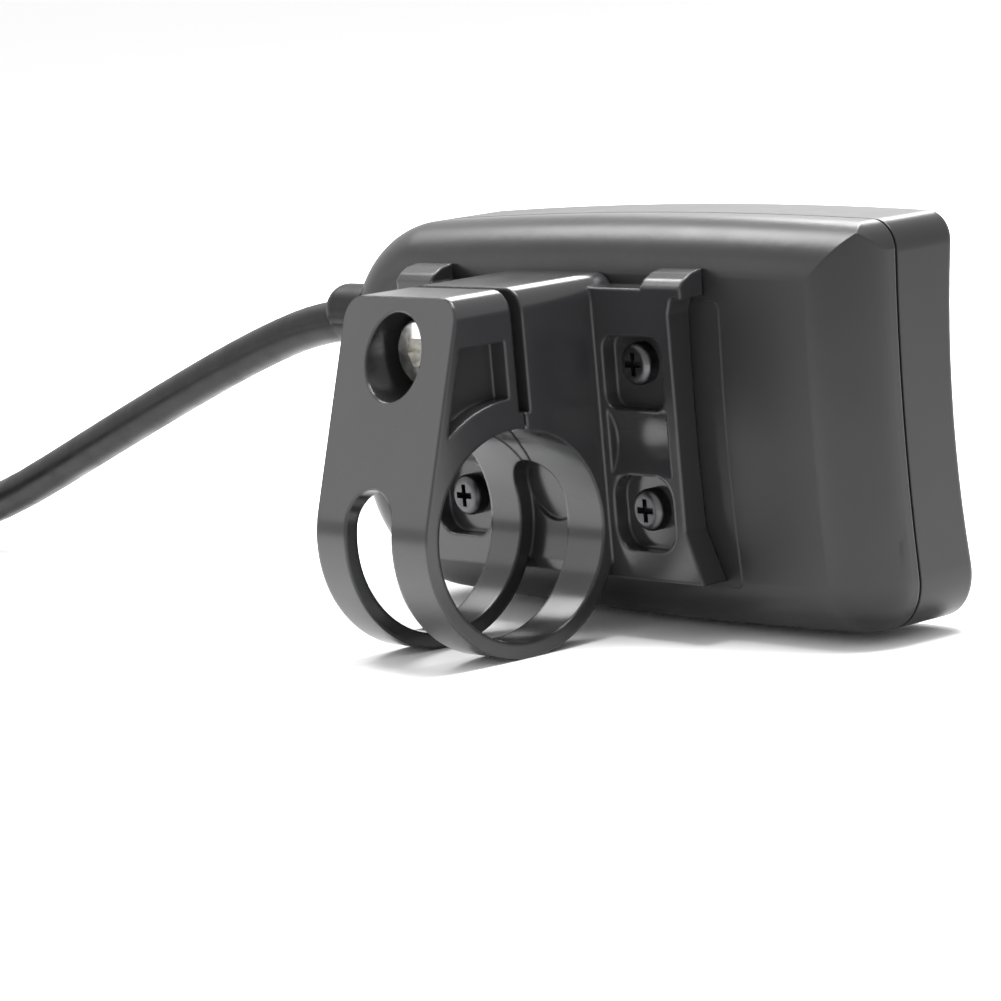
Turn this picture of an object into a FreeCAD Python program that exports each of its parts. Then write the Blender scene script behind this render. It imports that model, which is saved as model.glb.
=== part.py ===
"""Handlebar LED display unit with a split bar clamp, a cable and an inline plug.

Millimetres. The origin is the centre of the clamp's bore, midway along it.
+X runs along the handlebar to the rider's right, +Y points from the bar towards the
display's front face, and +Z is up.
"""
import FreeCAD
import Part
import Sketcher
import math
import os

doc = FreeCAD.newDocument("handlebar_display")
dims = doc.addObject("Spreadsheet::Sheet", "dims")
Vector = FreeCAD.Vector
Rotation = FreeCAD.Rotation
Placement = FreeCAD.Placement


class Size:
    """A length together with the sheet expression that gives it."""

    def __init__(self, text, value):
        self.text = text
        self.value = value

    def __add__(self, other):
        other = as_size(other)
        return Size("(%s + %s)" % (self.text, other.text), self.value + other.value)

    def __radd__(self, other):
        return as_size(other) + self

    def __sub__(self, other):
        other = as_size(other)
        return Size("(%s - %s)" % (self.text, other.text), self.value - other.value)

    def __rsub__(self, other):
        return as_size(other) - self

    def __mul__(self, factor):
        factor = as_size(factor)
        return Size("(%s * %s)" % (self.text, factor.text), self.value * factor.value)

    def __rmul__(self, factor):
        return as_size(factor) * self

    def __truediv__(self, divisor):
        divisor = as_size(divisor)
        return Size("(%s / %s)" % (self.text, divisor.text), self.value / divisor.value)

    def __neg__(self):
        return Size("(0 - %s)" % self.text, -self.value)


def as_size(number):
    """Plain numbers become sizes, so that both kinds mix in one sum."""
    if isinstance(number, Size):
        return number
    text = "%.6g" % number
    if number < 0:
        text = "(0 - %.6g)" % -number
    return Size(text, float(number))


sheet_row = 0


def cell(alias, number):
    """Writes one driving dimension to the sheet and returns it as a size."""
    global sheet_row
    sheet_row += 1
    dims.set("A%d" % sheet_row, alias)
    dims.set("B%d" % sheet_row, "%g" % number)
    dims.setAlias("B%d" % sheet_row, alias)
    return Size("dims.%s" % alias, float(number))


# ---------------------------------------------------------------- driving dimensions
# Clamp for a 22.2 mm bar
bore_radius = cell("bore_radius", 11.15)
ring_wall = cell("ring_wall", 1.65)
clamp_half = cell("clamp_half_width", 9.2)
slot_far = cell("slot_far_side", -4.35)
slot_near = cell("slot_near_side", 3.4)
ear_top = cell("ear_top", 25.6)
gap_front = cell("gap_front", 1.0)
gap_back = cell("gap_back", 2.5)
front_lean = cell("front_plate_lean", 16.5)
screw_height = cell("clamp_screw_height", 19.5)
head_radius = cell("clamp_screw_head_radius", 3.5)
counterbore_radius = cell("counterbore_radius", 4.55)
counterbore_floor = cell("counterbore_floor", -0.3)
base_face = cell("base_face", 12.0)
base_half = cell("base_half_length", 21.0)
base_low = cell("base_low", -6.4)
base_high = cell("base_high", 24.4)
lug_inner = cell("lug_inner_side", 17.2)
lug_top = cell("lug_top", 26.2)
mount_screw_x = cell("mount_screw_spacing_half", 14.9)
mount_screw_low = cell("mount_screw_low", 1.0)
mount_screw_high = cell("mount_screw_high", 16.4)
# Housing
case_left = cell("case_left", -39.7)
case_right = cell("case_right", 44.0)
case_low = cell("case_low", -12.2)
case_high = cell("case_high", 31.0)
crown_arc = cell("crown_arc_radius", 800.0)
crown_x = cell("crown_highest_x", 12.0)
case_back = cell("case_back", 15.0)
case_front = cell("case_front", 29.6)
seam_depth = cell("seam_depth", 7.0)
back_arc = cell("back_arc_radius", 247.0)
back_mid = cell("back_arc_centre_height", 10.0)
front_arc = cell("front_arc_radius", 118.0)
front_mid = cell("front_arc_centre_height", 9.1)
wall = cell("wall", 2.0)
left_corner = cell("left_corner_radius", 14.0)
upper_corner = cell("upper_right_corner_radius", 3.3)
lower_corner = cell("lower_right_corner_radius", 6.1)
back_round = cell("back_edge_round", 6.0)
front_round = cell("front_edge_round", 0.7)
# Electronics
board_back = cell("board_back", 21.2)
board_thick = cell("board_thickness", 1.6)
key_height = cell("key_centre_height", -2.0)
key_pitch = cell("key_pitch", 19.0)
key_half_x = cell("key_half_length", 6.2)
key_half_z = cell("key_half_height", 3.6)
# Small parts
pocket_floor = cell("pocket_floor", 13.8)
insert_radius = cell("insert_radius", 3.0)
insert_length = cell("insert_length", 7.0)
pad_height = cell("pad_height", 0.1)
# Cable
cable_radius = cell("cable_radius", 2.4)
gland_y = cell("gland_y", 18.5)
gland_z = cell("gland_z", 19.2)
gland_neck = cell("gland_neck_radius", 2.75)
floor_level = cell("floor_level", -12.8)
coil_x = cell("coil_x", -153.5)
coil_radius = cell("coil_mid_radius", 24.0)
coil_columns = cell("coil_columns", 3)
coil_layers = cell("coil_layers", 2)
plug_x = cell("plug_x", -126.0)
doc.recompute()

ring_radius = bore_radius + ring_wall
back_centre = case_back + back_arc
front_centre = case_front + front_arc
board_front = board_back + board_thick

AXES = {
    "X": Rotation(Vector(0, 1, 0), 90),
    "Y": Rotation(Vector(1, 0, 0), -90),
    "Z": Rotation(),
}
STEEP = 0.98


# ---------------------------------------------------------------- building helpers
def bind(item, path, size):
    """Ties one property of a document object to the sheet."""
    item.setExpression(path, as_size(size).text)


def place(item, corner, turn=Rotation()):
    """Puts an object at a corner whose coordinates come from the sheet."""
    item.Placement = Placement(Vector(*[as_size(c).value for c in corner]), turn)
    for letter, coordinate in zip("xyz", corner):
        bind(item, "Placement.Base.%s" % letter, coordinate)


def block(name, x, y, z):
    """A box given by its low and high side on each axis."""
    item = doc.addObject("Part::Box", name)
    for path, (low, high) in zip(("Length", "Width", "Height"), (x, y, z)):
        bind(item, path, as_size(high) - low)
    place(item, (x[0], y[0], z[0]))
    return item


def rod(name, radius, start, length, axis="Y"):
    """A cylinder from a start point along one axis."""
    item = doc.addObject("Part::Cylinder", name)
    bind(item, "Radius", radius)
    bind(item, "Height", length)
    place(item, start, AXES[axis])
    return item


def taper(name, radii, start, length, axis="Y"):
    """A cone from its first radius to its second along one axis."""
    item = doc.addObject("Part::Cone", name)
    bind(item, "Radius1", radii[0])
    bind(item, "Radius2", radii[1])
    bind(item, "Height", length)
    place(item, start, AXES[axis])
    return item


def fuse(name, *pieces):
    """One solid made of several that touch or overlap."""
    item = doc.addObject("Part::MultiFuse", name)
    item.Shapes = list(pieces)
    item.Refine = True
    return item


def cut(name, base, *tools):
    """The base with every tool taken out of it."""
    tool = tools[0]
    if len(tools) > 1:
        tool = fuse(name + "_tools", *tools)
    item = doc.addObject("Part::Cut", name)
    item.Base = base
    item.Tool = tool
    item.Refine = True
    return item


def common(name, first, second):
    """What two solids share."""
    item = doc.addObject("Part::Common", name)
    item.Base = first
    item.Tool = second
    return item


def group(name, pieces):
    """Separate solids that share one node."""
    item = doc.addObject("Part::Compound", name)
    item.Links = list(pieces)
    return item


def rounded(name, base, radius_of):
    """Rounds each edge for which radius_of gives a radius."""
    doc.recompute()
    edges = []
    for number, edge in enumerate(base.Shape.Edges, 1):
        radius = radius_of(edge)
        if radius:
            edges.append((number, radius, radius))
    if not edges:
        raise RuntimeError("no edge to round on " + name)
    item = doc.addObject("Part::Fillet", name)
    item.Base = base
    item.Edges = edges
    doc.recompute()
    return item


def runs_along(edge, axis):
    """True for a straight edge that is parallel to an axis."""
    if edge.Curve.TypeId != "Part::GeomLine":
        return False
    return abs(edge.tangentAt(edge.FirstParameter).dot(axis)) > STEEP


def circle_at_y(edge, level):
    """True for an edge that lies wholly at one Y."""
    box = edge.BoundBox
    return abs(box.YMin - as_size(level).value) < 0.01 and box.YLength < 0.01


def ahead_of_back(depth):
    """The arc of the housing's back, moved towards the display: its centre and radius."""
    return (back_centre, back_mid, back_arc - depth)


def behind_front(depth):
    """The arc of the housing's front face, moved towards the clamp."""
    return (front_centre, front_mid, front_arc + depth)


def arc_rod(name, arc):
    """A cylinder along X whose side is one of the housing's arcs."""
    start = (case_left - 10, arc[0], arc[1])
    return rod(name, arc[2], start, case_right - case_left + 20, "X")


def bent(name, outline, rear, face):
    """The layer of an outline between two of the housing's arcs."""
    outer = common(name + "_outer", outline, arc_rod(name + "_rear", rear))
    return cut(name, outer, arc_rod(name + "_face", face))


def soft_corners(name, plate, radii):
    """Rounds a plate's corners; radii holds the left, upper right and lower right ones."""
    doc.recompute()
    middle = plate.Shape.BoundBox.Center

    def corner_radius(edge):
        if not runs_along(edge, Vector(0, 1, 0)):
            return 0
        spot = edge.CenterOfMass
        if spot.x < middle.x:
            return radii[0]
        return radii[1] if spot.z > middle.z else radii[2]

    return rounded(name, plate, corner_radius)


def slab(name, x, z, radius, rear, face):
    """A bent plate with straight sides and equal corners."""
    plate = block(name + "_plate", x, (5, 45), z)
    return bent(name, soft_corners(name + "_corners", plate, (radius,) * 3), rear, face)


def outline_prism(name, inset, upper_radius):
    """The housing's outline, moved inwards by inset, with slightly crowned long sides."""
    reach = crown_arc - inset
    plate = block(name + "_plate", (case_left + inset, case_right - inset), (5, 45),
                  (case_low - 5, case_high + 5))
    top = rod(name + "_top", reach, (crown_x, 0, case_high - crown_arc), 50)
    bottom = rod(name + "_bottom", reach, (crown_x, 0, case_low + crown_arc), 50)
    crowned = common(name + "_crowned", common(name + "_half", plate, top), bottom)
    radii = (left_corner.value - inset, upper_radius, lower_corner.value - inset)
    return soft_corners(name + "_corners", crowned, radii)


def inset_slab(name, inset, rear, face):
    """A bent layer that follows the housing's outline, moved inwards by inset."""
    prism_here = outline_prism(name, inset, upper_corner.value - inset)
    return bent(name, prism_here, rear, face)


def on_arc(edge, arc):
    """True for an edge that lies on one of the housing's arcs and isn't just its crossing."""
    middle = edge.valueAt((edge.FirstParameter + edge.LastParameter) / 2)
    for point in [vertex.Point for vertex in edge.Vertexes] + [middle]:
        distance = math.hypot(point.y - arc[0].value, point.z - arc[1].value)
        if abs(distance - as_size(arc[2]).value) > 0.01:
            return False
    return True


PLANES = {"X": ("YZ_Plane", 1), "Y": ("XZ_Plane", -1)}


def sketch_on(body, name, axis, offset):
    """A sketch square to an axis of its body, at an offset along that axis."""
    role, sign = PLANES[axis]
    sketch = body.newObject("Sketcher::SketchObject", name)
    plane = [item for item in body.Origin.OriginFeatures if item.Role == role][0]
    sketch.AttachmentSupport = [(plane, "")]
    sketch.MapMode = "FlatFace"
    sketch.AttachmentOffset = Placement(Vector(0, 0, sign * offset.value), Rotation())
    bind(sketch, "AttachmentOffset.Base.z", offset * sign)
    return sketch


def fix_point(sketch, geometry, end, point):
    """Ties one point of a sketch to the sheet."""
    for kind, coordinate in zip(("DistanceX", "DistanceY"), point):
        coordinate = as_size(coordinate)
        number = sketch.addConstraint(
            Sketcher.Constraint(kind, -1, 1, geometry, end, coordinate.value))
        sketch.setExpression("Constraints[%d]" % number, coordinate.text)


def polygon(*points):
    """A drawing function: straight lines with every corner tied to the sheet."""
    def draw(sketch):
        flat = [Vector(as_size(p[0]).value, as_size(p[1]).value, 0) for p in points]
        count = len(flat)
        for index in range(count):
            line = Part.LineSegment(flat[index], flat[(index + 1) % count])
            sketch.addGeometry(line, False)
        for index in range(count):
            sketch.addConstraint(
                Sketcher.Constraint("Coincident", index, 2, (index + 1) % count, 1))
            fix_point(sketch, index, 1, points[index])
    return draw


def rectangle(low, high):
    """A drawing function: a rectangle between two opposite corners."""
    return polygon((low[0], low[1]), (high[0], low[1]), (high[0], high[1]), (low[0], high[1]))


def circles(radius, *centres):
    """A drawing function: equal circles tied to the sheet."""
    def draw(sketch):
        size = as_size(radius)
        for centre in centres:
            spot = Vector(as_size(centre[0]).value, as_size(centre[1]).value, 0)
            circle = Part.Circle(spot, Vector(0, 0, 1), size.value)
            number = sketch.addGeometry(circle, False)
            constraint = sketch.addConstraint(Sketcher.Constraint("Radius", number, size.value))
            sketch.setExpression("Constraints[%d]" % constraint, size.text)
            fix_point(sketch, number, 3, centre)
    return draw


def feature(body, name, kind, axis, draw, span):
    """Pads or pockets a sketched outline between two levels along an axis."""
    low = as_size(span[0])
    high = as_size(span[1])
    is_pad = kind == "PartDesign::Pad"
    from_low = is_pad == (PLANES[axis][1] > 0)
    sketch = sketch_on(body, name + "_sketch", axis, low if from_low else high)
    draw(sketch)
    before = body.Shape.Volume if body.Tip else 0.0
    item = body.newObject(kind, name)
    item.Profile = sketch
    bind(item, "Length", high - low)
    doc.recompute()
    change = body.Shape.Volume - before
    if is_pad != (change > 0) or abs(change) < 1e-3:
        raise RuntimeError("%s changed the volume by %.3f" % (name, change))


def pad(body, name, axis, draw, *span):
    feature(body, name, "PartDesign::Pad", axis, draw, span)


def pocket(body, name, axis, draw, *span):
    feature(body, name, "PartDesign::Pocket", axis, draw, span)


def prism(name, axis, draw, *span):
    """A body made of one sketched pad."""
    body = doc.addObject("PartDesign::Body", name)
    pad(body, name + "_pad", axis, draw, *span)
    return body


nodes = []


def node(item, label):
    """Marks an object as a finished sub-part."""
    item.Label = label
    nodes.append(item)
    return item


# ---------------------------------------------------------------- where things sit
lens_x = (case_left + 4.2, case_right - 4.2)
lens_z = (case_low + 19.3, case_high - 4.0)
led_high = case_high - 8.8
led_low = lens_z[0] + 5.4
led_first = case_left + 16.0
led_pitch = (case_right - case_left - 30.0) / 4
led_places = [led_first + led_pitch * index for index in range(5)]
key_names = ("minus", "power", "plus")
case_middle_x = (case_left + case_right) / 2
key_places = [case_middle_x - key_pitch, case_middle_x, case_middle_x + key_pitch]
mount_spots = [(x, z) for x in (-mount_screw_x, mount_screw_x)
               for z in (mount_screw_low, mount_screw_high)]
board_spots = [(x, z) for x in (case_left + 8.5, case_right - 6.4)
               for z in (case_low + 8.5, case_high - 8.5)]
switch_top = board_front + 3.1
plunger_top = switch_top + 0.4
stem_end = plunger_top + 0.08
slot_middle = (slot_far + slot_near) / 2


# ---------------------------------------------------------------- housing
def back_shell():
    """Rear half of the housing: big soft edges, a rebated rim, bosses inside.

    The rear edge's rounding mitres at the upper right corner, which is tighter than it.
    The prism that trims this corner stands clear of the other sides.
    """
    trim_clearance = 0.03
    seam = ahead_of_back(seam_depth)
    rear = ahead_of_back(0)
    blank = bent("back_blank", outline_prism("back_outline", 0, 0), rear, seam)
    soft = rounded("back_soft", blank,
                   lambda edge: back_round.value if on_arc(edge, rear) else 0)
    outside = common("back_outside", soft,
                     outline_prism("back_trim", -trim_clearance, upper_corner.value + 0.1))
    inner_round = back_round.value - wall.value
    inner_rear = ahead_of_back(wall)
    hollow_blank = bent("back_hollow_blank",
                        outline_prism("back_hollow", wall.value, inner_round + 0.2),
                        inner_rear, ahead_of_back(seam_depth + 1))
    hollow = rounded("back_hollow_soft", hollow_blank,
                     lambda edge: inner_round if on_arc(edge, inner_rear) else 0)
    rebate = inset_slab("back_rebate", 1.0, ahead_of_back(seam_depth - 1),
                        ahead_of_back(seam_depth + 1))
    shell = cut("back_open", outside, hollow, rebate)
    raised = slab("back_raised", (-25.3, 25.3), (-7.2, 22.8), 1.0,
                  ahead_of_back(-pad_height), ahead_of_back(1))
    solids = [shell, raised]
    holes = []
    for x, z in mount_spots:
        solids.append(rod("mount_boss", 2.7, (x, case_back + 1.4, z), 4.3))
        holes.append(rod("mount_pilot", 1.27, (x, case_back - 2, z), 7.3))
    for x, z in board_spots:
        start = case_back + 1.4
        boss = rod("board_boss", 2.0, (x, start, z), board_back - start)
        if x.value > 0:
            boss.Placement.Rotation = Rotation(Vector(0, 1, 0), 180) * AXES["Y"]
        solids.append(boss)
        holes.append(rod("board_pilot", 0.82, (x, board_back - 3.6, z), 5))
    whole = fuse("back_solid", *solids)
    way_out = rod("cable_exit", gland_neck + 0.02, (case_left - 3, gland_y, gland_z), 7, "X")
    node(cut("back_shell_shape", whole, way_out, *holes), "back_shell")


def front_shell():
    """Front half: shadow gap at the seam, tongue, window recess and key holes."""
    face = behind_front(0)
    inner_face = behind_front(2.2)
    blank = inset_slab("front_blank", 0, ahead_of_back(seam_depth + 0.3), face)
    outside = rounded("front_outside", blank,
                      lambda edge: front_round.value if on_arc(edge, face) else 0)
    rim = inset_slab("front_rim", 0.4, ahead_of_back(seam_depth), behind_front(3))
    tongue = inset_slab("front_tongue", 1.08, ahead_of_back(seam_depth - 0.4), behind_front(3))
    whole = fuse("front_solid", outside, rim, tongue)
    hollow = inset_slab("front_hollow", wall.value, ahead_of_back(seam_depth - 1), inner_face)
    tools = [hollow]
    for name, grow, radius, depth in (("lens_recess", 0.1, 3.1, 1.63), ("light_hole", -1.6, 1.5, 4)):
        tools.append(slab(name, (lens_x[0] - grow, lens_x[1] + grow),
                          (lens_z[0] - grow, lens_z[1] + grow), radius,
                          behind_front(depth), behind_front(-3)))
    for x in key_places:
        tools.append(slab("key_hole", (x - key_half_x - 0.3, x + key_half_x + 0.3),
                          (key_height - key_half_z - 0.3, key_height + key_half_z + 0.3),
                          2.8, behind_front(4), behind_front(-3)))
    node(cut("front_shell_shape", whole, *tools), "front_shell")


def housing_seal():
    """Silicone seal in the rebate between the two shells."""
    band = inset_slab("seal_band", 1.05, ahead_of_back(seam_depth - 0.95),
                      ahead_of_back(seam_depth - 0.45))
    inside = inset_slab("seal_inside", wall.value - 0.05, ahead_of_back(seam_depth - 2),
                        ahead_of_back(seam_depth + 2))
    node(cut("housing_seal_shape", band, inside), "housing_seal")


def display_lens():
    """Smoked window that lies flush in the front shell."""
    node(slab("display_lens_shape", lens_x, lens_z, 3.0, behind_front(1.6), behind_front(0)),
         "display_lens")


def keys():
    """Three keycaps, each with a retaining flange behind the wall and a stem."""
    z = (key_height - key_half_z, key_height + key_half_z)
    for name, x in zip(key_names, key_places):
        cap = slab(name + "_cap", (x - key_half_x, x + key_half_x), z, 2.5,
                   behind_front(3.2), behind_front(-0.8))
        flange = slab(name + "_flange", (x - key_half_x - 1.0, x + key_half_x + 1.0),
                      (z[0] - 1.0, z[1] + 1.0), 2.0, behind_front(3.2), behind_front(2.5))
        stem = rod(name + "_stem", 1.5, (x, stem_end, key_height), 1.0)
        node(fuse(name + "_key_shape", cap, flange, stem), "key_" + name)


def tact_switches():
    """Tactile switches on the board: fixed cases in one node, a plunger for each key."""
    cases = []
    for name, x in zip(key_names, key_places):
        case = block("switch_case", (x - 3, x + 3), (board_front, switch_top),
                     (key_height - 3, key_height + 3))
        well = rod("switch_well", 1.65, (x, switch_top - 1.9, key_height), 4)
        cases.append(cut("switch_body", case, well))
        start = switch_top - 1.3
        node(rod(name + "_plunger_shape", 1.6, (x, start, key_height), plunger_top - start),
             "plunger_" + name)
    node(group("switch_cases_shape", cases), "tact_switch_cases")


def circuit_board():
    """Glass-fibre board with screw holes."""
    blank = block("board_blank", (case_left + 5.4, case_right - 2.9), (board_back, board_front),
                  (case_low + 5.4, case_high - 5.4))
    soft = rounded("board_soft", blank,
                   lambda edge: 4.0 if runs_along(edge, Vector(0, 1, 0)) else 0)
    holes = [rod("board_hole", 1.1, (x, board_back - 1, z), 4) for x, z in board_spots]
    node(cut("circuit_board_shape", soft, *holes), "circuit_board")


def cross_recess(x, y, z, reach, depth):
    """The two crossing blades of a cross recess, from y towards +Y."""
    thin = 0.27 * reach
    return [block("cross_flat", (x - reach, x + reach), (y, y + depth), (z - thin, z + thin)),
            block("cross_tall", (x - thin, x + thin), (y, y + depth), (z - reach, z + reach))]


def pan_screw(x, z, seat, outward, radii, head_height, length, dome):
    """A cross-recess screw with its head on the side that outward says (-1 or +1)."""
    head_radius_here, shank_radius = radii
    top = seat + outward * head_height
    low = top if outward < 0 else seat
    head = rod("pan_head", head_radius_here, (x, low, z), head_height)
    soft = rounded("pan_soft", head, lambda edge: dome if circle_at_y(edge, top) else 0)
    start = seat if outward < 0 else seat - length
    shank = rod("pan_shank", shank_radius, (x, start, z), length)
    depth = 0.7 * head_height
    recess_low = top - 0.5 if outward < 0 else top - depth
    cross = cross_recess(x, recess_low, z, 0.55 * head_radius_here, depth + 0.5)
    return cut("pan_screw", fuse("pan_blank", soft, shank), *cross)


def screws():
    """Board screws inside, and the screws that hold the clamp's base on the housing."""
    board = [pan_screw(x, z, board_front, 1, (1.8, 0.77), 1.1, 4.6, 0.4) for x, z in board_spots]
    node(group("board_screws_shape", board), "board_screws")
    mount = [pan_screw(x, z, pocket_floor, -1, (2.25, 1.22), 1.7, 6.0, 0.8)
             for x, z in mount_spots]
    node(group("mounting_screws_shape", mount), "mounting_screws")


def led_rows():
    """Two rows of diodes, one for charge and one for assist level."""
    for name, z in (("battery_leds", led_high), ("assist_leds", led_low)):
        chips = []
        for x in led_places:
            chips.append(block("led_chip", (x - 1.0, x + 1.0), (board_front, board_front + 1.1),
                               (z - 0.6, z + 0.6)))
        node(group(name + "_shape", chips), name)


def light_baffle():
    """Opaque frame between board and window, with one well for each diode."""
    blank = block("baffle_blank", (led_first - 5.0, led_places[-1] + 5.0),
                  (board_front, board_front + 4.4), (lens_z[0] + 2.0, lens_z[1] - 2.0))
    wells = []
    for z in (led_high, led_low):
        for x in led_places:
            wells.append(block("baffle_well", (x - 3.2, x + 3.2),
                               (board_front - 1, board_front + 6), (z - 1.8, z + 1.8)))
    node(cut("light_baffle_shape", blank, *wells), "light_baffle")


def board_parts():
    """Larger components on the board's rear side."""
    back = board_back
    node(block("controller_shape", (4, 11), (back - 1.0, back), (6, 13)), "microcontroller")
    node(block("regulator_shape", (-26, -20), (back - 2.2, back), (-1, 5.5)), "voltage_regulator")
    node(rod("capacitor_shape", 1.8, (24, back - 1.8, 4), 8.0, "Z"), "capacitor")
    shell = block("header_shell", (-28.5, -23.5), (back - 3.2, back), (9.5, 20.5))
    well = block("header_well", (-29.5, -24.5), (back - 2.6, back - 0.6), (10.1, 19.9))
    node(cut("wire_header_shape", shell, well), "wire_header")


def inner_wires():
    """Five cores from the cable's cut end to the header, one solid each."""
    cores = []
    start = Vector(cable_start.value, gland_y.value, gland_z.value)
    for index in range(5):
        spread = index - 2
        points = [start + Vector(0.25, 0.2, 0.74 * spread - 0.36),
                  start + Vector(1.4, 0.6, 0.74 * spread - 0.9),
                  Vector(-26.2, board_back.value - 1.6, 15.0 + 1.8 * spread)]
        core = doc.addObject("Part::Feature", "core")
        core.Shape = tube(points, 0.36)[0]
        cores.append(core)
    node(group("inner_wires_shape", cores), "inner_wires")


# ---------------------------------------------------------------- clamp
def clamp_moulding():
    """Split ring, two ears and base as one body, before its slot and recesses."""
    body = doc.addObject("PartDesign::Body", "clamp_moulding")
    whole = (-clamp_half, clamp_half)
    lean = math.radians(front_lean.value)
    lean_cos = Size("cos(dims.front_plate_lean)", math.cos(lean))
    lean_sin = Size("sin(dims.front_plate_lean)", math.sin(lean))
    touch = (-ring_radius * lean_cos, ring_radius * lean_sin)
    top_y = touch[0] + (ear_top - touch[1]) * lean_sin / lean_cos
    behind = case_back + 4
    pad(body, "ring", "X", circles(ring_radius, (0, 0)), *whole)
    pad(body, "front_ear", "X",
        polygon((gap_front, 0), (gap_front, ear_top), (top_y, ear_top), touch, (-8, 0)), *whole)
    pad(body, "rear_ear", "X", rectangle((gap_back, 0), (behind, ear_top)), *whole)
    edge = base_half + 2.2
    flare = [(edge, base_low), (base_half, base_low + 5.5), (base_half, base_high - 2.6),
             (base_half + 0.5, base_high - 1.2), (edge, base_high)]
    mirrored = [(-x, z) for x, z in reversed(flare)]
    pad(body, "base", "Y", polygon(*flare, *mirrored), base_face, behind)
    lug = polygon((base_face, base_high - 1), (base_face, base_high + 0.2),
                  (base_face + 0.6, base_high + 0.9), (base_face + 1.7, base_high + 1.5),
                  (base_face + 3.2, lug_top), (behind, lug_top), (behind, base_high - 1))
    pad(body, "right_lug", "X", lug, lug_inner, edge)
    pad(body, "left_lug", "X", lug, -edge, -lug_inner)
    pocket(body, "bore", "X", circles(bore_radius, (0, 0)), -edge, edge)
    pocket(body, "gap", "X", rectangle((gap_front, ring_radius - 0.1), (gap_back, ear_top + 5)),
           *whole)
    split = (gap_front + gap_back) / 2
    pocket(body, "split", "X", rectangle((split - 0.15, 5), (split + 0.15, ear_top)), *whole)
    pocket(body, "counterbore", "Y", circles(counterbore_radius, (0, screw_height)),
           -20, counterbore_floor)
    pocket(body, "screw_hole", "Y", circles(2.2, (0, screw_height)), -20, gap_back + 0.5)
    pocket(body, "insert_hole", "Y", circles(insert_radius, (0, screw_height)),
           gap_back - 0.5, gap_back + insert_length + 2.5)
    pocket(body, "base_holes", "Y", circles(1.45, *mount_spots), base_face - 1, behind + 1)
    return body


def side_recesses():
    """Hollows in both sides of the front ear, above a rib that follows the ring."""
    outline = polygon((-0.2, 8.0), (-0.2, 20.4), (-6.1, 20.4), (-9.3, 9.4))
    depth = 2.3
    tools = []
    for low, high in ((clamp_half - depth, clamp_half + 1), (-clamp_half - 1, depth - clamp_half)):
        blank = prism("ear_recess", "X", outline, low, high)
        rib = rod("ear_rib", ring_radius + 1.6, (low - 1, 0, 0), high - low + 2, "X")
        tools.append(cut("ear_recess_cut", blank, rib))
    return tools


def screw_pockets():
    """Pockets for the mounting screws, joined in pairs by a shallow scoop."""
    tools = []
    for side in (-1, 1):
        middle = mount_screw_x * side
        x = (middle - 4.6, middle + 4.6)
        for z, softness in (((11.6, 19.4), 1.6), ((-3.3, 4.7), 2.6)):
            blank = block("pocket_blank", x, (base_face - 2, pocket_floor), z)
            tools.append(rounded("pocket_soft", blank, lambda edge: softness
                                 if runs_along(edge, Vector(0, 1, 0)) else 0))
        tools.append(rod("pocket_scoop", 5.6, (x[0], base_face - 4.4, 8.15), 9.2, "X"))
    return tools


def slot_tools():
    """The round-ended slot that splits the ring into two bands for most of its turn."""
    first = 12.5
    last = 169.0
    outer = ring_radius + 0.2
    sector = rod("slot_sector", outer, (slot_far, 0, 0), slot_near - slot_far, "X")
    sector.Angle = 360 - last + first
    sector.Placement.Rotation = Rotation(Vector(1, 0, 0), last - 270) * AXES["X"]
    tools = [sector]
    for angle in (first, last):
        end = rod("slot_end", (slot_near - slot_far) / 2, (slot_middle, 0, 0), outer)
        end.Placement.Rotation = Rotation(Vector(1, 0, 0), angle - 90)
        tools.append(end)
    return tools


def mould_lines():
    """Shallow parting line on the bore, from both rims in to the slot's end."""
    places = ((10.7, 1.25), (3.0, 5.1), (1.25, 7.7), (0.7, 9.4))
    half = 0.1
    strips = []
    for side in (-1, 1):
        points = [Vector(slot_middle.value + x * side, y, 5) for x, y in places]
        for start, end in zip(points, points[1:]):
            turn = Rotation(Vector(1, 0, 0), end - start)
            strip = doc.addObject("Part::Box", "mould_strip")
            strip.Length = (end - start).Length + 2 * half
            strip.Width = 2 * half
            strip.Height = 8
            strip.Placement = Placement(start - turn.multVec(Vector(half, half, 0)), turn)
            strips.append(strip)
    drum = rod("mould_drum", bore_radius + 0.18, (-clamp_half - 1, 0, 0), 2 * clamp_half + 2, "X")
    return common("mould_groove", fuse("mould_strips", *strips), drum)


def clamp():
    """The clamp moulding with its slot and recesses, its back shaped to the housing."""
    length = 2 * base_half + 20
    form = rod("housing_form", back_arc + pad_height + 0.05,
               (-base_half - 10, back_centre, back_mid), length, "X")
    rough = cut("clamp_rough", clamp_moulding(), form, *slot_tools(), *side_recesses())

    def ear_corner(edge):
        middle = edge.CenterOfMass
        at_top = abs(middle.z - ear_top.value) < 0.01
        at_side = abs(abs(middle.x) - clamp_half.value) < 0.01
        return 2.6 if at_top and at_side and runs_along(edge, Vector(0, 1, 0)) else 0

    soft = rounded("clamp_soft", rough, ear_corner)
    node(cut("clamp_body_shape", soft, mould_lines(), *screw_pockets()), "clamp_body")


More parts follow.
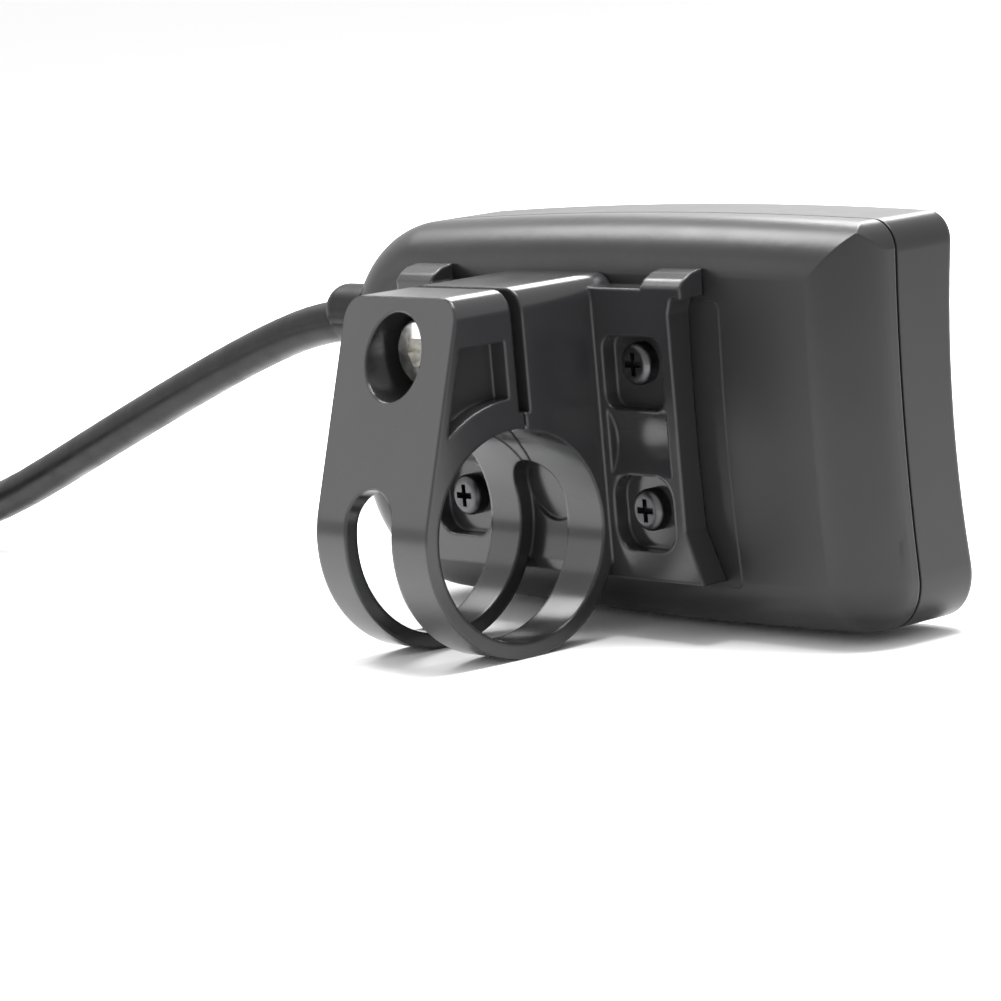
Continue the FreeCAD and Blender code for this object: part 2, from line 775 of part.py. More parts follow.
def clamp_hardware():
    """Socket-head screw across the ears, and the threaded insert that takes it."""
    seat = counterbore_floor
    head = rod("cap_head", head_radius, (0, seat - 4.0, screw_height), 4.0)
    soft = rounded("cap_soft", head, lambda edge: 0.35 if circle_at_y(edge, seat - 4.0) else 0)
    shank = rod("cap_shank", 1.9, (0, seat, screw_height), 10.0)
    hexagon = doc.addObject("Part::Prism", "cap_socket")
    hexagon.Polygon = 6
    hexagon.Circumradius = 1.74
    hexagon.Height = 2.4
    place(hexagon, (0, seat - 4.1, screw_height), AXES["Y"])
    node(cut("clamp_screw_shape", fuse("cap_blank", soft, shank), hexagon), "clamp_screw")
    sleeve = rod("insert_sleeve", insert_radius - 0.02, (0, gap_back, screw_height),
                 insert_length)
    thread = rod("insert_thread", 1.95, (0, gap_back - 1, screw_height), insert_length + 3)
    node(cut("clamp_insert_shape", sleeve, thread), "clamp_insert")


# ---------------------------------------------------------------- cable
def tube(points, radius):
    """A tube on straight runs joined by tangent arcs: its shape, length and bend radii."""
    edges = []
    bends = []
    start = points[0]
    for before, corner, after in zip(points, points[1:], points[2:]):
        into = corner - before
        out = after - corner
        turn = into.getAngle(out)
        reach = 0.45 * min(into.Length, out.Length)
        into.normalize()
        out.normalize()
        first = corner - into * reach
        last = corner + out * reach
        bend = reach / math.tan(turn / 2)
        inward = out - into
        inward.normalize()
        middle = corner + inward * (bend / math.cos(turn / 2) - bend)
        edges.append(Part.LineSegment(start, first).toShape())
        edges.append(Part.Arc(first, middle, last).toShape())
        bends.append(bend)
        start = last
    edges.append(Part.LineSegment(start, points[-1]).toShape())
    path = Part.Wire(edges)
    profile = Part.Wire([Part.makeCircle(radius, points[0], points[1] - points[0])])
    return path.makePipeShell([profile], True, True), path.Length, bends


cable_start = case_left + 3.9
coil_turn = coil_radius + cable_radius * (coil_columns - 1)
coil_outer = coil_radius + cable_radius * coil_columns
coil_inner = coil_radius - cable_radius * coil_columns
coil_y = gland_y - coil_turn
tail_y = coil_y - coil_turn
plug_y = tail_y + 2.6
tail_z = floor_level + 3 * cable_radius
plug_z = floor_level + 5.0


def cable():
    """The cable's free run from the housing down to the coil, and its tail to the plug."""
    y = gland_y.value
    lying = floor_level.value + cable_radius.value
    joins_coil = coil_x.value + 1.0
    run = [Vector(cable_start.value, y, gland_z.value),
           Vector(-43.7, y, gland_z.value - 0.1),
           Vector(-57.6, y, 15.5),
           Vector(-81.6, y, 6.9),
           Vector(-126.6, y, lying),
           Vector(joins_coil, y + 0.02, lying)]
    tail = [Vector(joins_coil, tail_y.value, tail_z.value),
            Vector(plug_x.value - 10.0, tail_y.value + 1.9, tail_z.value + 0.2),
            Vector(plug_x.value + 2.0, plug_y.value, plug_z.value)]
    for name, points in (("cable", run), ("cable_tail", tail)):
        solid, length, bends = tube(points, cable_radius.value)
        item = doc.addObject("Part::Feature", name + "_shape")
        item.Shape = solid
        node(item, name)
        ideal = math.pi * cable_radius.value ** 2 * length
        print("%s: %.1f mm, volume ratio %.4f, bend radii %s"
              % (name, length, solid.Volume / ideal, ["%.0f" % bend for bend in bends]))


def coil_and_tie():
    """The put-away length as one ring, with a strap round its section."""
    height = 2 * cable_radius * coil_layers
    outer = rod("coil_outer", coil_outer, (coil_x, coil_y, floor_level), height, "Z")
    inner = rod("coil_inner", coil_inner, (coil_x, coil_y, floor_level - 1), height + 2, "Z")
    ring = cut("coil_ring", outer, inner)
    strap_x = (coil_x - coil_outer, coil_x - coil_inner)
    outside = block("tie_outside", (strap_x[0] - 0.9, strap_x[1] + 1.1),
                    (coil_y - 2.5, coil_y + 2.5), (floor_level, floor_level + height + 0.9))
    inside = block("tie_inside", (strap_x[0] - 0.1, strap_x[1] + 0.3),
                   (coil_y - 5, coil_y + 5), (floor_level + 0.8, floor_level + height + 0.1))
    node(cut("cable_tie_shape", outside, inside), "cable_tie")
    notch = block("coil_notch", (strap_x[0] - 2, strap_x[1] + 2),
                  (coil_y - 2.6, coil_y + 2.6), (floor_level - 1, floor_level + 0.85))
    soft = rounded("coil_soft", ring, lambda edge: 2.1 if edge.Length > 50 else 0)
    node(cut("cable_coil_shape", soft, notch), "cable_coil")


def inline_plug():
    """Moulded plug: tapered boot, barrel with a key rib, and five pins."""
    barrel_x = plug_x + 14
    spot = (plug_x, plug_y, plug_z)
    taper_part = taper("boot_taper", (2.9, 4.3), spot, 14, "X")
    boot_hole = rod("boot_hole", cable_radius, (plug_x - 1, plug_y, plug_z), 3, "X")
    node(cut("plug_boot_shape", taper_part, boot_hole), "plug_boot")
    barrel = rod("barrel", 5.0, (barrel_x, plug_y, plug_z), 16, "X")
    mouth = rod("barrel_mouth", 3.9, (barrel_x + 8, plug_y, plug_z), 10, "X")
    rib = block("barrel_rib", (barrel_x + 2, barrel_x + 15), (plug_y - 0.8, plug_y + 0.8),
                (plug_z + 4, plug_z + 5.7))
    node(cut("plug_barrel_shape", fuse("barrel_solid", barrel, rib), mouth), "plug_barrel")
    pins = []
    for index in range(5):
        angle = 2 * math.pi * index / 5
        pin = (barrel_x + 8, plug_y + 2.1 * math.cos(angle), plug_z + 2.1 * math.sin(angle))
        pins.append(rod("pin", 0.45, pin, 6.5, "X"))
    node(group("plug_pins_shape", pins), "plug_pins")


def cable_gland():
    """Rubber strain relief: a neck in the wall and a rounded hood above the cable."""
    hood_reach = 2.9
    neck = rod("gland_neck", gland_neck, (case_left - 1.0, gland_y, gland_z), 4.8, "X")
    hood = rod("gland_hood", 3.0, (case_left - hood_reach, gland_y, gland_z + 0.95), 7, "X")
    end = case_left.value - hood_reach
    soft = rounded("gland_hood_soft", hood, lambda edge: 2.3 if abs(edge.BoundBox.XMax - end) < 0.01
                   else 0)
    outside = cut("gland_outside", soft, doc.getObject("back_outside"))
    core = doc.getObject("cable_shape")
    node(cut("cable_gland_shape", fuse("gland_solid", neck, outside), core), "cable_gland")


def export():
    """Checks every object and writes one STEP file for each sub-part."""
    doc.recompute()
    for item in doc.Objects:
        if "Invalid" in item.State or "Error" in item.State:
            raise RuntimeError("%s failed: %s" % (item.Label, item.State))
    os.makedirs("parts", exist_ok=True)
    for item in nodes:
        shape = item.Shape
        if shape.isNull() or not shape.isValid():
            raise RuntimeError("%s has no valid shape" % item.Label)
        print("%-20s %2d solid(s) %10.2f mm3" % (item.Label, len(shape.Solids), shape.Volume))
        shape.exportStep("parts/%s.step" % item.Label)


back_shell()
front_shell()
housing_seal()
display_lens()
keys()
tact_switches()
circuit_board()
screws()
led_rows()
light_baffle()
board_parts()
inner_wires()
clamp()
clamp_hardware()
cable()
coil_and_tie()
inline_plug()
cable_gland()
export()
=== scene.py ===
import bmesh
import bpy
import itertools
import math
from mathutils import Matrix, Vector


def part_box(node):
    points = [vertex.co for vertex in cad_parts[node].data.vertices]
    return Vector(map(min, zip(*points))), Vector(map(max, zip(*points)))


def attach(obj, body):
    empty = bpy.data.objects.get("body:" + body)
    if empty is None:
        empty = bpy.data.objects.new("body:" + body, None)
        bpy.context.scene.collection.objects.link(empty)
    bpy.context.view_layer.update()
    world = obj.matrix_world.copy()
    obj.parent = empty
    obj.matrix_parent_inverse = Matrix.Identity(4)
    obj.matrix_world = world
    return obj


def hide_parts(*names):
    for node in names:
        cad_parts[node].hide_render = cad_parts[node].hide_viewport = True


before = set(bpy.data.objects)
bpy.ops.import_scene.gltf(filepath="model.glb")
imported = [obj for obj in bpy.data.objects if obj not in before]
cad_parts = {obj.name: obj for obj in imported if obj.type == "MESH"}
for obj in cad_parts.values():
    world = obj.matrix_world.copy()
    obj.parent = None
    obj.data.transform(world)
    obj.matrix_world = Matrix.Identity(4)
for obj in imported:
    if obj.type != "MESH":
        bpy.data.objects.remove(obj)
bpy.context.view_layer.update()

MM = 0.001
FLOOR_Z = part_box("cable_coil")[0][2]


def put(name, data):
    """Adds an object for a mesh, curve, light or camera to the scene."""
    item = bpy.data.objects.new(name, data)
    bpy.context.collection.objects.link(item)
    return item


def mesh_from(made, name):
    """Turns a finished bmesh into a mesh and frees it."""
    mesh = bpy.data.meshes.new(name)
    made.to_mesh(mesh)
    made.free()
    return mesh


# ---------------------------------------------------------------- camera
# Its place is in metres, its angles in radians, its lens and sensor in millimetres.
CAMERA_PLACE = Vector((0.3600, -0.2893, 0.0701))
CAMERA_TURN = math.radians(50.735)
CAMERA_TILT = math.radians(8.28)
CAMERA_ROLL = math.radians(-5.127)
CAMERA_LENS = 159.64
SENSOR_WIDTH = 36


def make_camera():
    """Camera at the photograph's viewing angle, on the clamp's side of the housing."""
    turn, tilt, roll = CAMERA_TURN, CAMERA_TILT, CAMERA_ROLL
    level = Vector((-math.sin(turn), math.cos(turn), 0))
    side = Vector((math.cos(turn), math.sin(turn), 0))
    forward = level * math.cos(tilt) - Vector((0, 0, 1)) * math.sin(tilt)
    above = side.cross(forward)
    right = side * math.cos(roll) + above * math.sin(roll)
    upward = above * math.cos(roll) - side * math.sin(roll)
    data = bpy.data.cameras.new("camera")
    data.lens = CAMERA_LENS
    data.sensor_width = SENSOR_WIDTH
    data.clip_start = 0.01
    camera = put("camera", data)
    facing = Matrix((right, upward, -forward)).transposed()
    camera.matrix_world = Matrix.Translation(CAMERA_PLACE) @ facing.to_4x4()
    bpy.context.scene.camera = camera


# ---------------------------------------------------------------- material helpers
class Nodes:
    """One material's node tree, with short calls for the nodes used here."""

    def __init__(self, name):
        self.material = bpy.data.materials.new(name)
        self.material.use_nodes = True
        self.tree = self.material.node_tree
        self.shader = self.tree.nodes["Principled BSDF"]
        self.place = self.add("ShaderNodeTexCoord").outputs["Object"]

    def add(self, kind, **values):
        """Adds a node and sets its properties, or its inputs by name."""
        item = self.tree.nodes.new(kind)
        for key, value in values.items():
            if hasattr(item, key):
                setattr(item, key, value)
            else:
                item.inputs[key.replace("_", " ")].default_value = value
        return item

    def link(self, source, target):
        self.tree.links.new(source, target)

    def noise(self, scale, detail=4.0, stretch=(1, 1, 1)):
        """Noise in object space; scale counts features per metre."""
        mapping = self.add("ShaderNodeMapping")
        mapping.inputs["Scale"].default_value = stretch
        self.link(self.place, mapping.inputs["Vector"])
        texture = self.add("ShaderNodeTexNoise", Scale=scale, Detail=detail, Roughness=0.55)
        self.link(mapping.outputs["Vector"], texture.inputs["Vector"])
        return texture.outputs["Fac"]

    def ramp(self, source, low, high, start=0.35, end=0.65):
        """Maps a value onto a range, numbers or colours."""
        if isinstance(low, (int, float)):
            item = self.add("ShaderNodeMapRange")
            item.inputs["From Min"].default_value = start
            item.inputs["From Max"].default_value = end
            item.inputs["To Min"].default_value = low
            item.inputs["To Max"].default_value = high
            self.link(source, item.inputs["Value"])
            return item.outputs["Result"]
        item = self.add("ShaderNodeValToRGB")
        item.color_ramp.elements[0].position = start
        item.color_ramp.elements[1].position = end
        item.color_ramp.elements[0].color = (*low, 1)
        item.color_ramp.elements[1].color = (*high, 1)
        self.link(source, item.inputs["Fac"])
        return item.outputs["Color"]

    def bump(self, *layers, edge=0.0):
        """Stacks (height, strength, distance) layers of bump, over edges softened by edge."""
        normal = None
        if edge:
            normal = self.add("ShaderNodeBevel", samples=6, Radius=edge).outputs["Normal"]
        for height, strength, distance in layers:
            item = self.add("ShaderNodeBump", Strength=strength, Distance=distance)
            self.link(height, item.inputs["Height"])
            if normal:
                self.link(normal, item.inputs["Normal"])
            normal = item.outputs["Normal"]
        self.link(normal, self.shader.inputs["Normal"])

    def set(self, **values):
        """Sets sockets of the shader that are the same all over."""
        for key, value in values.items():
            self.shader.inputs[key.replace("_", " ")].default_value = value


def grained_plastic(name, colour, roughness, grain=2600.0, depth=0.00001, edge=0.0, gloss=0.5):
    """Moulded plastic: spark-eroded grain, faint flow marks, uneven gloss, softened edges."""
    made = Nodes(name)
    dark = tuple(0.85 * part for part in colour)
    light = tuple(1.15 * part for part in colour)
    made.link(made.ramp(made.noise(60.0, 2.0), dark, light, 0.15, 0.85),
              made.shader.inputs["Base Color"])
    rough = made.ramp(made.noise(140.0, 3.0), roughness - 0.04, roughness + 0.05, 0.15, 0.85)
    made.link(rough, made.shader.inputs["Roughness"])
    spark_grain = (made.noise(grain, 3.0), 0.4, depth)
    flow_marks = (made.noise(45.0, 1.0), 0.03, 0.0002)
    made.bump(spark_grain, flow_marks, edge=edge)
    made.set(Specular_IOR_Level=gloss)
    return made.material


def rubber(name, colour, roughness=0.55, sheen=0.05, ior=1.5):
    """Extruded or moulded rubber with dust-fine mottling."""
    made = Nodes(name)
    light = tuple(1.5 * part for part in colour)
    made.link(made.ramp(made.noise(400.0, 8.0), colour, light), made.shader.inputs["Base Color"])
    made.link(made.ramp(made.noise(250.0, 6.0), roughness - 0.08, roughness + 0.08),
              made.shader.inputs["Roughness"])
    fine_skin = (made.noise(3000.0, 3.0), 0.4, 0.00002)
    soft_waves = (made.noise(220.0, 3.0), 0.15, 0.0001)
    made.bump(fine_skin, soft_waves)
    made.set(Sheen_Weight=sheen, IOR=ior)
    return made.material


def metal(name, colour, roughness, stretch=(1, 1, 1)):
    """Plated or turned metal with fine tool marks and small stains."""
    made = Nodes(name)
    dark = tuple(0.7 * part for part in colour)
    made.link(made.ramp(made.noise(500.0, 6.0), dark, colour, 0.3, 0.6),
              made.shader.inputs["Base Color"])
    made.link(made.ramp(made.noise(900.0, 6.0), roughness - 0.06, roughness + 0.1),
              made.shader.inputs["Roughness"])
    tool_marks = (made.noise(2500.0, 4.0, stretch=stretch), 0.25, 0.00002)
    made.bump(tool_marks)
    made.set(Metallic=1.0)
    return made.material


def board_green(name):
    """Solder mask over copper tracks: paler right-angled traces under green gloss."""
    made = Nodes(name)
    brick = made.add("ShaderNodeTexBrick", Scale=220.0)
    brick.inputs["Mortar Size"].default_value = 0.03
    brick.inputs["Color1"].default_value = (0.006, 0.075, 0.03, 1)
    brick.inputs["Color2"].default_value = (0.008, 0.09, 0.036, 1)
    brick.inputs["Mortar"].default_value = (0.02, 0.17, 0.07, 1)
    turn = made.add("ShaderNodeMapping")
    turn.inputs["Rotation"].default_value = (math.radians(90), 0, 0)
    made.link(made.place, turn.inputs["Vector"])
    made.link(turn.outputs["Vector"], brick.inputs["Vector"])
    made.link(brick.outputs["Color"], made.shader.inputs["Base Color"])
    made.link(made.ramp(made.noise(300.0), 0.19, 0.27), made.shader.inputs["Roughness"])
    made.bump((brick.outputs["Fac"], 0.3, 0.00005))
    return made.material


def smoked_glass(name):
    """Dark tinted window, clear gloss with the faintest orange peel."""
    made = Nodes(name)
    made.link(made.ramp(made.noise(30.0), (0.016, 0.016, 0.018), (0.022, 0.022, 0.024)),
              made.shader.inputs["Base Color"])
    made.link(made.ramp(made.noise(150.0, 6.0), 0.03, 0.07), made.shader.inputs["Roughness"])
    made.bump((made.noise(120.0, 2.0), 0.04, 0.0002))
    made.set(Transmission_Weight=0.25, IOR=1.49)
    return made.material


def lamp_phosphor(name):
    """Unlit yellow phosphor under clear resin."""
    made = Nodes(name)
    made.link(made.ramp(made.noise(1500.0), (0.75, 0.62, 0.12), (0.9, 0.8, 0.3)),
              made.shader.inputs["Base Color"])
    made.set(Roughness=0.25, Coat_Weight=0.6)
    return made.material


def give(material, *names):
    """Makes one material the only one on each of the named CAD nodes."""
    for name in names:
        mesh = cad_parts[name].data
        mesh.materials.clear()
        mesh.materials.append(material)


def dress_cad():
    """Materials for the CAD nodes that show as they are."""
    housing = grained_plastic("housing_plastic", (0.0125, 0.0125, 0.0132), 0.32, grain=1500.0,
                              depth=0.000003, edge=0.00025, gloss=0.32)
    clamp = grained_plastic("clamp_plastic", (0.019, 0.019, 0.0202), 0.17, grain=1800.0,
                            depth=0.000003, edge=0.0005, gloss=0.42)
    give(housing, "back_shell", "front_shell")
    give(clamp, "clamp_body")
    give(metal("bright_zinc", (0.80, 0.79, 0.76), 0.16), "clamp_screw")
    give(metal("black_oxide", (0.085, 0.085, 0.088), 0.34), "mounting_screws")
    give(metal("nickel", (0.62, 0.61, 0.58), 0.34), "board_screws", "tact_switch_cases")
    give(metal("turned_brass", (0.75, 0.55, 0.25), 0.34, (1, 0.1, 1)), "clamp_insert", "plug_pins")
    give(rubber("key_silicone", (0.022, 0.022, 0.024), 0.5), "key_minus", "key_power", "key_plus")
    give(rubber("gland_rubber", (0.005, 0.005, 0.005), 0.36, sheen=0.0, ior=1.24), "cable_gland")
    give(rubber("seal_silicone", (0.25, 0.25, 0.26)), "housing_seal")
    give(smoked_glass("smoked_window"), "display_lens")
    give(board_green("solder_mask"), "circuit_board")
    give(lamp_phosphor("led_phosphor"), "battery_leds", "assist_leds")
    epoxy = grained_plastic("black_epoxy", (0.02, 0.02, 0.022), 0.5, 4000.0)
    give(epoxy, "microcontroller", "voltage_regulator", "plunger_minus", "plunger_power",
         "plunger_plus")
    give(grained_plastic("white_baffle", (0.75, 0.75, 0.74), 0.5), "light_baffle")
    give(grained_plastic("natural_nylon", (0.72, 0.70, 0.62), 0.45), "wire_header")
    give(metal("can_aluminium", (0.72, 0.73, 0.75), 0.34), "capacitor")
    give(rubber("wire_insulation", (0.30, 0.035, 0.03), 0.36), "inner_wires")
    give(grained_plastic("plug_plastic", (0.0125, 0.0125, 0.013), 0.32, edge=0.0004), "plug_barrel")


# ---------------------------------------------------------------- cable, in millimetres
CABLE_RADIUS = 2.4
CABLE_Y = 18.5
FLOOR_MM = -12.8
COIL_X = -153.5
COIL_R = 24.0
PITCH = 2 * CABLE_RADIUS
TURNS = 4.5
STEPS_PER_TURN = 24
COIL_Y = CABLE_Y - COIL_R - PITCH
TAIL_Y = COIL_Y - COIL_R - PITCH
PLUG_X = -126.0
PLUG_Y = TAIL_Y + 2.6
PLUG_Z = FLOOR_MM + 5.0
LOW_TURN = FLOOR_MM + PITCH / 2
HIGH_TURN = LOW_TURN + PITCH


def ease(value, start, end):
    """0 before start, 1 after end, smooth between."""
    part = min(1.0, max(0.0, (value - start) / (end - start)))
    return part * part * (3 - 2 * part)


def coil_point(turns):
    """Where the coil's line is after so many turns: in along the floor, out on top."""
    radius = COIL_R + PITCH
    radius -= PITCH * ease(turns, 0.66, 0.98)
    radius -= PITCH * ease(turns, 1.66, 1.98)
    height = LOW_TURN + PITCH * ease(turns, 2.34, 2.64)
    radius += PITCH * ease(turns, 3.02, 3.32)
    radius += PITCH * ease(turns, 4.02, 4.32)
    angle = math.pi / 2 + 2 * math.pi * turns
    return (COIL_X + radius * math.cos(angle), COIL_Y + radius * math.sin(angle), height)


def cable_route():
    """Control points: the run, the coil's turns and the tail."""
    run = [(-35.8, CABLE_Y, 19.2), (-43.7, CABLE_Y, 19.1), (-57.6, CABLE_Y, 15.5),
           (-81.6, CABLE_Y, 6.9), (-126.6, CABLE_Y, LOW_TURN),
           (COIL_X + 1.0, CABLE_Y + 0.02, LOW_TURN)]
    last_step = int(TURNS * STEPS_PER_TURN)
    coil = [coil_point(step / STEPS_PER_TURN) for step in range(1, last_step + 1)]
    tail = [(COIL_X + 1.0, TAIL_Y, HIGH_TURN), (PLUG_X - 10.0, TAIL_Y + 1.9, HIGH_TURN + 0.2),
            (PLUG_X + 2.0, PLUG_Y, PLUG_Z)]
    return run + coil + tail


def make_cable():
    """One open spline from the housing through the coil to the plug."""
    curve = bpy.data.curves.new("lead", "CURVE")
    curve.dimensions = "3D"
    points = cable_route()
    spline = curve.splines.new("NURBS")
    spline.points.add(len(points) - 1)
    for target, point in zip(spline.points, points):
        target.co = (point[0] * MM, point[1] * MM, point[2] * MM, 1)
    spline.order_u = 3
    spline.use_endpoint_u = True
    spline.resolution_u = 6
    curve.bevel_depth = CABLE_RADIUS * MM
    curve.bevel_resolution = 6
    lead = put("lead", curve)
    curve.materials.append(rubber("lead_jacket", (0.006, 0.006, 0.006), 0.36, sheen=0.0, ior=1.24))
    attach(lead, "housing")
    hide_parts("cable", "cable_tail", "cable_coil")
    return lead


# ---------------------------------------------------------------- pieces, in millimetres
def finish_piece(name, mesh, material, body, finish, *nodes, smooth=True):
    """Adds a mesh as a piece with its material and body, and hides the nodes it stands for; finish
    is not used.
    """
    for polygon in mesh.polygons:
        polygon.use_smooth = smooth
    mesh.materials.append(material)
    item = put(name, mesh)
    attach(item, body)
    if nodes:
        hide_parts(*nodes)
    return item


def skin(made, rows):
    """Joins each closed row of a bmesh's points to the next with four-sided faces."""
    for low, high in zip(rows, rows[1:]):
        for index in range(len(low)):
            after = (index + 1) % len(low)
            made.faces.new((low[index], low[after], high[after], high[index]))


def loft(name, rings, closed_ends=True):
    """A mesh through rings of equally many points, in millimetres."""
    made = bmesh.new()
    rows = [[made.verts.new(Vector(point) * MM) for point in ring] for ring in rings]
    skin(made, rows)
    if closed_ends:
        made.faces.new(rows[0][::-1])
        made.faces.new(rows[-1])
    bmesh.ops.recalc_face_normals(made, faces=made.faces[:])
    return mesh_from(made, name)


def lathe_x(name, profile, y, z):
    """A turned mesh about a line along X; profile lists (x, radius)."""
    steps = 64
    rings = []
    for x, radius in profile:
        ring = []
        for step in range(steps):
            angle = 2 * math.pi * step / steps
            ring.append((x, y + radius * math.cos(angle), z + radius * math.sin(angle)))
        rings.append(ring)
    return loft(name, rings)


BOOT_RIBS = 6
RIB_PITCH = 1.7
RIB_RADIUS = 3.0
RIB_GROWTH = 0.17
RIB_CROWN = 0.08
GROOVE_DEPTH = 0.38


def make_boot():
    """Moulded plug boot: a thin mouth round the tail, bending ribs that grow, and a thick grip."""
    mouth = [(0.0, 2.42), (0.0, 2.8), (0.25, 2.95)]
    ribs = []
    for rib in range(BOOT_RIBS):
        x = 0.5 + rib * RIB_PITCH
        radius = RIB_RADIUS + RIB_GROWTH * rib
        groove = radius - GROOVE_DEPTH
        crown = radius + RIB_CROWN
        ribs += [(x, groove), (x + 0.45, groove), (x + 0.6, radius), (x + 0.75, crown),
                 (x + 1.35, crown), (x + 1.5, radius)]
    grip = [(11.2, 3.9), (11.8, 4.25), (13.6, 4.3), (14.0, 4.2)]
    profile = [(PLUG_X + x, radius) for x, radius in mouth + ribs + grip]
    mesh = lathe_x("boot", profile, PLUG_Y, PLUG_Z)
    return finish_piece("ribbed_boot", mesh, rubber("boot_rubber", (0.010, 0.010, 0.010), 0.4),
                        "housing", "rubber", "plug_boot")


def rounded_loop(half_x, half_z, radius, steps=8):
    """Points of a rounded rectangle about the origin."""
    points = []
    for quarter in range(4):
        cx = (half_x - radius) * (1 if quarter in (0, 3) else -1)
        cz = (half_z - radius) * (1 if quarter in (0, 1) else -1)
        for step in range(steps + 1):
            angle = math.pi / 2 * (quarter + step / steps)
            points.append((cx + radius * math.cos(angle), cz + radius * math.sin(angle)))
    return points


STRAP_HALF_WIDTH = 2.3
STRAP_BEVEL = 0.25
STRAP_SIDE = 0.6
STRAP_TOP = 0.55
STRAP_CORNER = 2.2


def make_tie():
    """Nylon cable tie: a strap round the coil's rows and layers, its head and its cut tail."""
    row_half = 1.5 * PITCH + 0.25
    layer_half = PITCH + 0.3
    mid_x = COIL_X - COIL_R + 0.1
    mid_z = FLOOR_MM + layer_half
    inner = rounded_loop(row_half, layer_half, STRAP_CORNER)
    outer = rounded_loop(row_half + STRAP_SIDE, layer_half + STRAP_TOP, STRAP_CORNER + 0.5)
    near = COIL_Y - STRAP_HALF_WIDTH
    far = COIL_Y + STRAP_HALF_WIDTH
    rings = []
    for (ix, iz), (ox, oz) in zip(inner, outer):
        rings.append([(mid_x + ix, near, mid_z + iz),
                      (mid_x + ox, near + STRAP_BEVEL, mid_z + oz),
                      (mid_x + ox, far - STRAP_BEVEL, mid_z + oz),
                      (mid_x + ix, far, mid_z + iz)])
    rings.append(rings[0])
    made = bmesh.new()
    made.from_mesh(loft("strap", rings, closed_ends=False))
    top = mid_z + layer_half
    # Each block has its centre, its half size and its bevel.
    head = ((mid_x - 1.0, COIL_Y, top + 0.45), (2.6, 2.45, 0.45), 0.3)
    cut_tail = ((mid_x + 3.6, COIL_Y, top + 0.75), (2.6, 1.7, 0.15), 0.1)
    for block in (head, cut_tail):
        add_block(made, *block)
    bmesh.ops.remove_doubles(made, verts=made.verts[:], dist=1e-7)
    mesh = mesh_from(made, "tie")
    nylon = grained_plastic("tie_nylon", (0.012, 0.012, 0.012), 0.35, 1500.0)
    return finish_piece("lead_tie", mesh, nylon, "housing", "tie", "cable_tie", smooth=False)


def add_block(made, centre, half, soft):
    """Adds a block with bevelled edges, in millimetres, to a bmesh."""
    verts = []
    for signs in itertools.product((-1, 1), repeat=3):
        corner = [c + h * sign for c, h, sign in zip(centre, half, signs)]
        verts.append(made.verts.new(Vector(corner) * MM))
    sides = ((0, 1, 3, 2), (4, 6, 7, 5), (0, 4, 5, 1), (2, 3, 7, 6), (0, 2, 6, 4), (1, 5, 7, 3))
    faces = [made.faces.new([verts[index] for index in side]) for side in sides]
    edges = {edge for face in faces for edge in face.edges}
    bmesh.ops.bevel(made, geom=list(edges), offset=soft * MM, segments=2, affect="EDGES")


# ---------------------------------------------------------------- face marks, in millimetres
FACE_RADIUS = 118.0
FACE_CENTRE = (147.6, 9.1)
KEY_HEIGHT = 0.8
SYMBOL_HEIGHT = 0.12
PRINT_HEIGHT = 0.03
KEY_Z = -2.0
KEY_X = {"minus": -16.85, "power": 2.15, "plus": 21.15}
LED_FIRST = -23.7
LED_STEP = 13.425
LED_X = [LED_FIRST + LED_STEP * index for index in range(5)]
LED_HIGH = 22.2
LED_LOW = 12.5
SIGN_X = -31.0


def face_y(z, proud):
    """The bent face's Y at a height, moved out by proud."""
    reach = FACE_RADIUS - proud
    return FACE_CENTRE[0] - math.sqrt(reach ** 2 - (z - FACE_CENTRE[1]) ** 2)


def raise_shapes(made, outlines, proud, height):
    """Adds flat shapes that stand out of the face by height, with chamfered rims."""
    for outline in outlines:
        cx = sum(point[0] for point in outline) / len(outline)
        cz = sum(point[1] for point in outline) / len(outline)
        rings = []
        for level, shrink in ((-0.06, 1.0), (height * 0.6, 1.0), (height, 0.94)):
            ring = []
            for x, z in outline:
                x = cx + (x - cx) * shrink
                z = cz + (z - cz) * shrink
                ring.append(made.verts.new(Vector((x, face_y(z, proud + level), z)) * MM))
            rings.append(ring)
        skin(made, rings)
        made.faces.new(rings[-1])
        made.faces.new(rings[0][::-1])


def bar(x, z, half_x, half_z, radius):
    """A rounded bar's outline about a point."""
    return [(x + px, z + pz) for px, pz in rounded_loop(half_x, half_z, radius, steps=5)]


def arc_pieces(x, z, inner, outer, first, last, count):
    """A ring's sector as a row of four-sided shapes."""
    shapes = []
    for step in range(count):
        a = math.radians(first + (last - first) * step / count)
        b = math.radians(first + (last - first) * (step + 1) / count)
        shapes.append([(x + outer * math.cos(a), z + outer * math.sin(a)),
                       (x + outer * math.cos(b), z + outer * math.sin(b)),
                       (x + inner * math.cos(b), z + inner * math.sin(b)),
                       (x + inner * math.cos(a), z + inner * math.sin(a))])
    return shapes


def battery_sign(x, z):
    """A battery's outline of four strokes, with its small contact."""
    stroke = 0.16
    return [bar(x, z + 1.0, 1.9, stroke, 0.15), bar(x, z - 1.0, 1.9, stroke, 0.15),
            bar(x - 1.75, z, stroke, 0.83, 0.15), bar(x + 1.75, z, stroke, 0.83, 0.15),
            bar(x + 2.3, z, 0.25, 0.45, 0.2)]


def wheel_sign(x, z):
    """A wheel's rim and hub."""
    return arc_pieces(x, z, 1.5, 1.8, 0, 360, 32) + arc_pieces(x, z, 0.3, 0.6, 0, 360, 12)


def power_sign(x, z):
    """An open ring with a bar in its gap."""
    return arc_pieces(x, z - 0.2, 1.25, 1.75, 125, 415, 28) + [bar(x, z + 1.1, 0.27, 1.0, 0.26)]


